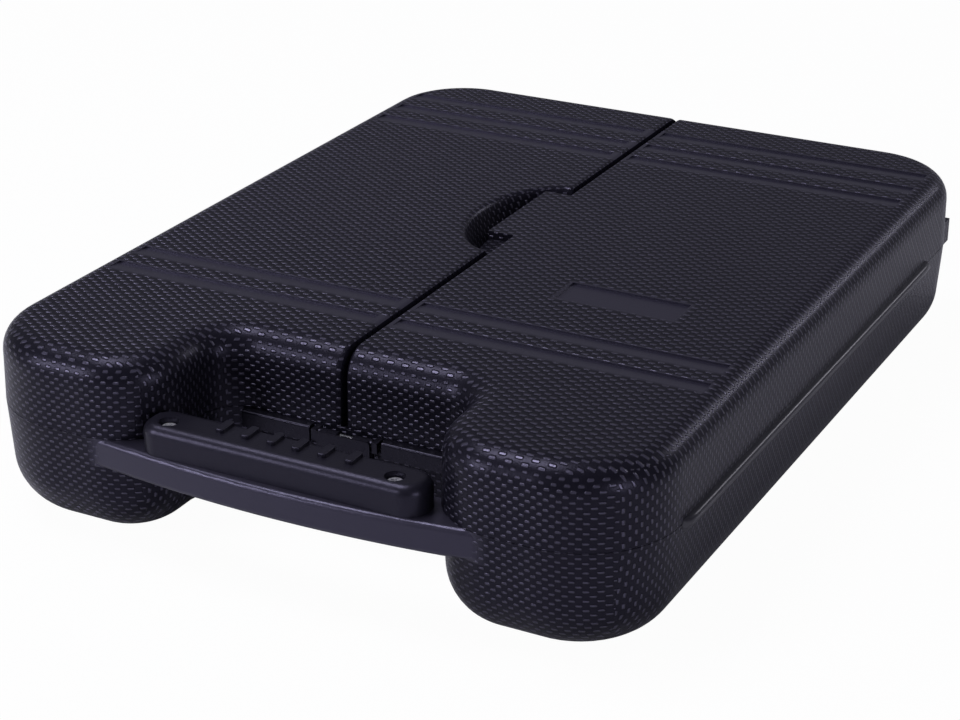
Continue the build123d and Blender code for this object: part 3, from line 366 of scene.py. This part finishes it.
# ---- living hinges ----
# Along each side a smooth strip of the same plastic joins the base to the lid. It is moulded as a
# hollow bead, steep above and drawn out below.
HINGE_LINE = {side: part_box(f"hinge_strip_{side}") for side in ("left", "right")}
HINGE_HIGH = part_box("base_shell")[1].z
HINGE_OUT = 0.003
BEAD_SKIN = 0.0006
BEAD_TIP = 0.009
BEAD_ROOT = -0.0018  # how far inside the wall the bead's ends lie
BEAD_PROFILE = (
    (-0.0014, 0.0018), (0.0008, 0.0019), (0.0020, 0.0016), (0.0028, 0.0009), (0.0031, -0.0001),
    (0.0029, -0.0014), (0.0021, -0.0027), (0.0010, -0.0041), (-0.0003, -0.0055), (BEAD_ROOT, -0.0066))


def pick(kind, test):
    """In edit mode, select only the vertices, edges or faces whose middle passes the test."""
    bpy.ops.mesh.select_mode(type=kind)
    bpy.ops.mesh.select_all(action="DESELECT")
    form = bmesh.from_edit_mesh(bpy.context.edit_object.data)
    for part in {"VERT": form.verts, "EDGE": form.edges, "FACE": form.faces}[kind]:
        middle = part.co if kind == "VERT" else sum((v.co for v in part.verts), Vector()) / len(part.verts)
        if test(middle, part):
            part.select = True
    form.select_flush_mode()
    bmesh.update_edit_mesh(bpy.context.edit_object.data)


def begin(adder, **sizes):
    """Add a primitive on its own, with its place in its mesh, and open it in edit mode."""
    bpy.ops.object.select_all(action="DESELECT")
    adder(**sizes)
    bpy.ops.object.transform_apply(location=True, rotation=True, scale=True)
    bpy.ops.object.mode_set(mode="EDIT")


def end(name, material, angle=35):
    """Close edit mode, smooth the faces, name the piece and give it its material and slot."""
    bpy.ops.mesh.select_all(action="SELECT")
    bpy.ops.mesh.normals_make_consistent(inside=False)
    bpy.ops.object.mode_set(mode="OBJECT")
    piece = bpy.context.object
    piece.name = name
    piece.data.name = name
    bpy.ops.object.shade_smooth_by_angle(angle=math.radians(angle))
    piece.data.materials.append(material)
    return piece


def apply(kind, **settings):
    """Finish the open piece with one modifier and apply it."""
    bpy.ops.object.mode_set(mode="OBJECT")
    modifier = bpy.context.object.modifiers.new(kind.lower(), kind)
    for label, value in settings.items():
        setattr(modifier, label, value)
    bpy.ops.object.modifier_apply(modifier=modifier.name)
    bpy.ops.object.mode_set(mode="EDIT")


hinge_black, hinge_shader, hinge_mottle = finish_material(
    "hinge_black", (0.013, 0.0122, 0.019), (0.018, 0.017, 0.025), (0.27, 0.40), MOTTLE, (30.0, 1500.0))
speckle_bump(hinge_black, hinge_shader, hinge_mottle, 0.00003)
for side, out in (("left", -1), ("right", 1)):
    low, high = HINGE_LINE[side]
    wall_x = out * (max(abs(low.x), abs(high.x)) - 2 * HINGE_OUT)
    steps = len(BEAD_PROFILE) - 1
    begin(bpy.ops.mesh.primitive_grid_add, x_subdivisions=steps, y_subdivisions=60, size=1)
    form = bmesh.from_edit_mesh(bpy.context.edit_object.data)
    for vertex in form.verts:
        reach, rise = BEAD_PROFILE[round((vertex.co.x + 0.5) * steps)]
        along = low.y + (vertex.co.y + 0.5) * (high.y - low.y)
        tip = min(1.0, min(along - low.y, high.y - along) / BEAD_TIP)
        reach = BEAD_ROOT + (reach - BEAD_ROOT) * math.sqrt(1 - (1 - tip) ** 2)
        vertex.co = (wall_x + out * reach, along, HINGE_HIGH + rise)
    bmesh.update_edit_mesh(bpy.context.edit_object.data)
    apply("SOLIDIFY", thickness=BEAD_SKIN, offset=-1.0)
    strip = end(f"living_hinge_{side}", hinge_black, 60)
    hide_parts(f"hinge_strip_{side}")
    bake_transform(strip)

# ---- carry handle's grip and its screws ----
# The grip is a separate smooth moulding with six finger ribs, screwed down on the bar from above
# by two bright cross-head screws in counterbores.
grip_black, grip_shader, grip_mottle = finish_material(
    "grip_black", (0.0060, 0.0056, 0.0090), (0.0090, 0.0086, 0.0130), (0.30, 0.42), MOTTLE, (45.0, 1100.0))
grip_shader.inputs["Specular Tint"].default_value = BLUE_SHEEN
grip_shader.inputs["Specular IOR Level"].default_value = 0.34
speckle_bump(grip_black, grip_shader, grip_mottle, 0.00006)
dress(grip_black, "handle_grip")


def steel(name, dark, light, rough, scales, bump):
    """A metal between two colours, with its mottle's speckle as fine pits."""
    material, shader, node = finish_material(name, dark, light, rough, MOTTLE, scales)
    shader.inputs["Metallic"].default_value = 1.0
    speckle_bump(material, shader, node, bump)
    return material


bright_steel = steel(
    "bright_steel", (0.62, 0.62, 0.64), (0.78, 0.78, 0.80), (0.22, 0.34), (300.0, 2600.0), 0.00001)
dress(bright_steel, "latch_pin")
screw_zinc = steel(
    "screw_zinc", (0.84, 0.84, 0.86), (0.94, 0.94, 0.95), (0.34, 0.48), (260.0, 2000.0), 0.00001)
dress(screw_zinc, "handle_screws")

# ---- latch ----
# A smooth strip in two lengths stands on the bay's rear wall. Between them a flap hangs on a steel
# pin, and a coil of spring wire round the pin keeps it shut.
latch_black, latch_shader, latch_mottle = finish_material(
    "latch_black", (0.0040, 0.0038, 0.0060), (0.0060, 0.0056, 0.0085), (0.24, 0.34), MOTTLE, (60.0, 1300.0))
latch_shader.inputs["Specular Tint"].default_value = BLUE_SHEEN
latch_shader.inputs["Specular IOR Level"].default_value = 0.3
speckle_bump(latch_black, latch_shader, latch_mottle, 0.00004)
dress(latch_black, "latch_frame", "latch_flap")
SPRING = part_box("latch_spring")
WIRE = 0.00026
WIRE_SIDES = 8
COILS = 9
COIL_STEPS = 20
coil_radius = (SPRING[1].z - SPRING[0].z) / 2 - WIRE
pin_y, pin_z = (SPRING[0].y + SPRING[1].y) / 2, (SPRING[0].z + SPRING[1].z) / 2
begin(bpy.ops.mesh.primitive_circle_add, vertices=WIRE_SIDES, radius=WIRE,
      location=(SPRING[0].x + WIRE, pin_y, pin_z + coil_radius), rotation=(math.pi / 2, 0, math.pi))
bpy.ops.mesh.select_all(action="SELECT")
pitch = (SPRING[1].x - SPRING[0].x - 2 * WIRE) / COILS
bpy.ops.mesh.spin(steps=COIL_STEPS * COILS, angle=2 * math.pi * COILS, center=(SPRING[0].x, pin_y, pin_z),
                  axis=(1, 0, 0))
form = bmesh.from_edit_mesh(bpy.context.edit_object.data)
form.verts.ensure_lookup_table()
for number, vertex in enumerate(form.verts):
    vertex.co.x += pitch * (number // WIRE_SIDES) / COIL_STEPS
bmesh.update_edit_mesh(bpy.context.edit_object.data)
pick("EDGE", lambda at, part: part.is_boundary)
bpy.ops.mesh.edge_face_add()
coil = end("latch_coil", bright_steel, 60)
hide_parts("latch_spring")
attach(coil, "case")

# ---- tray and lid liners ----
# The inside is lined with thinner black sheet: a tray with a pocket for each tool, and a plain
# inner wall in each lid. The sheet is satin with a fine leather-like grain.
def pebbles():
    """A fine leather-like grain: 1 on the pebbles and 0 in the creases between them."""
    group, given, out = new_group("pebbles", {"Scale": 700.0}, [("Raised", "NodeSocketFloat")])
    place = group.nodes.new("ShaderNodeTexCoord")
    cells = group.nodes.new("ShaderNodeTexVoronoi")
    cells.feature = "DISTANCE_TO_EDGE"
    group.links.new(place.outputs["Object"], cells.inputs["Vector"])
    group.links.new(given["Scale"], cells.inputs["Scale"])
    steep = calc(group, "MULTIPLY", cells.outputs["Distance"], 4.0)
    group.links.new(calc(group, "MINIMUM", steep, 1.0), out["Raised"])
    return group


PEBBLES = pebbles()


def pebbled(name, dark, light, rough, scale, high):
    """A plastic or rubber with the pebbled grain."""
    material, shader, _ = finish_material(name, dark, light, rough, MOTTLE, (12.0, 1200.0))
    tree = material.node_tree
    node = tree.nodes.new("ShaderNodeGroup")
    node.node_tree = PEBBLES
    node.inputs["Scale"].default_value = scale
    bump = tree.nodes.new("ShaderNodeBump")
    bump.inputs["Distance"].default_value = high
    tree.links.new(node.outputs["Raised"], bump.inputs["Height"])
    tree.links.new(bump.outputs["Normal"], shader.inputs["Normal"])
    return material


sheet_black = pebbled(
    "sheet_black", (0.020, 0.020, 0.022), (0.028, 0.028, 0.031), (0.42, 0.56), 620.0, 0.00008)
dress(sheet_black, "tray_left", "tray_right", "lid_left_liner", "lid_right_liner")

# ---- ratchets, drive handles and joints ----
# These are forged and chromed, with a mirror polish over faint waves. Their grips are ribbed black
# rubber, and the ratchets' levers are hard black plastic.
chrome = steel("chrome", (0.66, 0.67, 0.69), (0.80, 0.80, 0.82), (0.07, 0.16), (40.0, 1800.0), 0.000006)
tool_rubber = pebbled(
    "tool_rubber", (0.022, 0.022, 0.024), (0.032, 0.032, 0.034), (0.52, 0.68), 900.0, 0.00010)
for drive in ("half", "quarter"):
    dress(chrome, f"{drive}_ratchet_body", f"{drive}_ratchet_cover", f"{drive}_ratchet_gear")
    dress(chrome, f"{drive}_joint_yoke_front", f"{drive}_joint_cross", f"{drive}_joint_yoke_rear")
    dress(chrome, f"{drive}_extension_long", f"{drive}_extension_short")
    dress(bright_steel, f"{drive}_ratchet_button")
    dress(latch_black, f"{drive}_ratchet_lever")
    dress(tool_rubber, f"{drive}_ratchet_grip")
dress(chrome, "t_bar", "t_bar_slider", "spinner_shank")
dress(tool_rubber, "spinner_grip", "spark_plug_insert")

# ---- sockets ----
# Chromed sockets stand in round pockets with their mouths up. Each has a band of raised pads
# pressed round its foot or its head, which gives the fingers a hold.
PAD = 0.0016
PAD_HIGH = 0.00012
half_sockets = sorted(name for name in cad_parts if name.startswith("half_socket_"))
dress(chrome, *half_sockets)
dress(chrome, "quarter_sockets", "half_deep_sockets", "spark_plug_socket")


def hold_band(name, middle, radius, high, axis, rows):
    """A knurled band: a ring of small raised pads round a tool, along Z or along Y."""
    sides = 2 * round(math.pi * radius / PAD)
    begin(bpy.ops.mesh.primitive_cylinder_add, vertices=sides, radius=radius, depth=high,
          end_fill_type="NOTHING", location=middle, rotation=(math.pi / 2 if axis == "y" else 0, 0, 0))
    along = Vector((0, 1, 0)) if axis == "y" else Vector((0, 0, 1))
    for row in range(1, rows):
        bpy.ops.mesh.select_all(action="SELECT")
        cut = Vector(middle) + along * high * (row / rows - 0.5)
        bpy.ops.mesh.bisect(plane_co=cut, plane_no=along)
    bpy.ops.mesh.select_all(action="SELECT")
    bpy.ops.mesh.normals_make_consistent(inside=False)
    bpy.ops.mesh.inset(thickness=PAD * 0.2, depth=PAD_HIGH, use_individual=True)
    apply("SOLIDIFY", thickness=0.0003, offset=-1.0)
    band = end(name, chrome, 25)
    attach(band, "case")
    return band


for name in half_sockets:
    low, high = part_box(name)
    middle = ((low.x + high.x) / 2, (low.y + high.y) / 2, high.z - 0.0155)
    hold_band(f"hold_band_{name}", middle, (high.x - low.x) / 2 + 0.00003, 0.0062, "z", 4)
for drive in ("half", "quarter"):
    for length in ("long", "short"):
        low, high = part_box(f"{drive}_extension_{length}")
        radius = (high.x - low.x) / 2
        middle = ((low.x + high.x) / 2, low.y + 1.05 * radius, (low.z + high.z) / 2)
        hold_band(f"hold_band_{drive}_{length}", middle, radius + 0.00003, radius * 0.8, "y", 4)

# ---- screwdriver bits ----
# Hardened steel bits stand in two rows in their holder. Each has a six-sided shank with a ring
# groove and a ground tip: slotted, cross, six-sided or star.
bit_steel = steel(
    "bit_steel", (0.28, 0.28, 0.30), (0.42, 0.42, 0.44), (0.28, 0.42), (260.0, 2400.0), 0.00002)
holder_black = pebbled(
    "holder_black", (0.030, 0.030, 0.034), (0.044, 0.044, 0.048), (0.40, 0.55), 800.0, 0.00006)
dress(holder_black, "bit_holder")
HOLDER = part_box("bit_holder")
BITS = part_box("bits")
COLUMNS, ROWS = 2, 12
SHANK_RADIUS = 0.00635 / 2 / math.cos(math.pi / 6)
SHANK_TOP = BITS[0].z + 0.016


def bit(name, x, y, kind, size):
    """One bit: a six-sided shank, a neck, and a tip of the given kind and radius."""
    long = SHANK_TOP - BITS[0].z
    begin(bpy.ops.mesh.primitive_cylinder_add, vertices=6, radius=SHANK_RADIUS, depth=long,
          location=(x, y, BITS[0].z + long / 2), rotation=(0, 0, math.pi / 6))

    def top(at, part):
        return at.z > bpy.context.edit_object["top"] - 0.00001

    def raise_top(rise, scale):
        """Extrude the top face by a rise, and scale it about the bit's axis."""
        pick("FACE", top)
        bpy.ops.mesh.extrude_region_move(TRANSFORM_OT_translate={"value": (0, 0, rise)})
        height = bpy.context.edit_object["top"] + rise
        bpy.context.edit_object["top"] = height
        bpy.ops.transform.resize(value=(scale, scale, 1), center_override=(x, y, height))

    bpy.context.edit_object["top"] = SHANK_TOP
    raise_top(0.0008, 0.80)
    raise_top(0.0005, 0.92)
    raise_top(0.0040, size / (SHANK_RADIUS * 0.736))
    raise_top(BITS[1].z - bpy.context.edit_object["top"] - 0.00002, 1.0)
    tip_floor = BITS[1].z - 0.0046
    if kind == "slotted":
        pick("VERT", lambda at, part: at.z > tip_floor + 0.002)
        bpy.ops.transform.resize(value=(1.15, 0.26, 1), center_override=(x, y, BITS[1].z))
    elif kind == "cross":
        pick("VERT", lambda at, part: at.z > tip_floor + 0.002)
        bpy.ops.transform.resize(value=(0.45, 0.45, 1), center_override=(x, y, BITS[1].z))
    elif kind == "star":
        pick("FACE", lambda at, part: at.z > tip_floor and abs(part.normal.z) < 0.5)
        bpy.ops.mesh.inset(thickness=size * 0.22, depth=-size * 0.2, use_individual=True)
    pick("EDGE", lambda at, part: at.z > SHANK_TOP - 0.0002)
    bpy.ops.mesh.bevel(offset=0.00012, segments=1)
    del bpy.context.edit_object["top"]
    return end(name, bit_steel, 30)


KINDS = ("slotted", "cross", "six_sided", "star")
tips = []
for column in range(COLUMNS):
    for row in range(ROWS):
        x = HOLDER[0].x + (HOLDER[1].x - HOLDER[0].x) * (column + 0.5) / COLUMNS
        y = HOLDER[0].y + (HOLDER[1].y - HOLDER[0].y) * (row + 0.5) / ROWS
        kind = KINDS[(row // 3 + 2 * column) % 4]
        tips.append(bit(f"bit_{kind}_{column}_{row}", x, y, kind, 0.0011 + 0.00009 * row))
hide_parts("bits")
for tip in tips:
    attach(tip, "case")
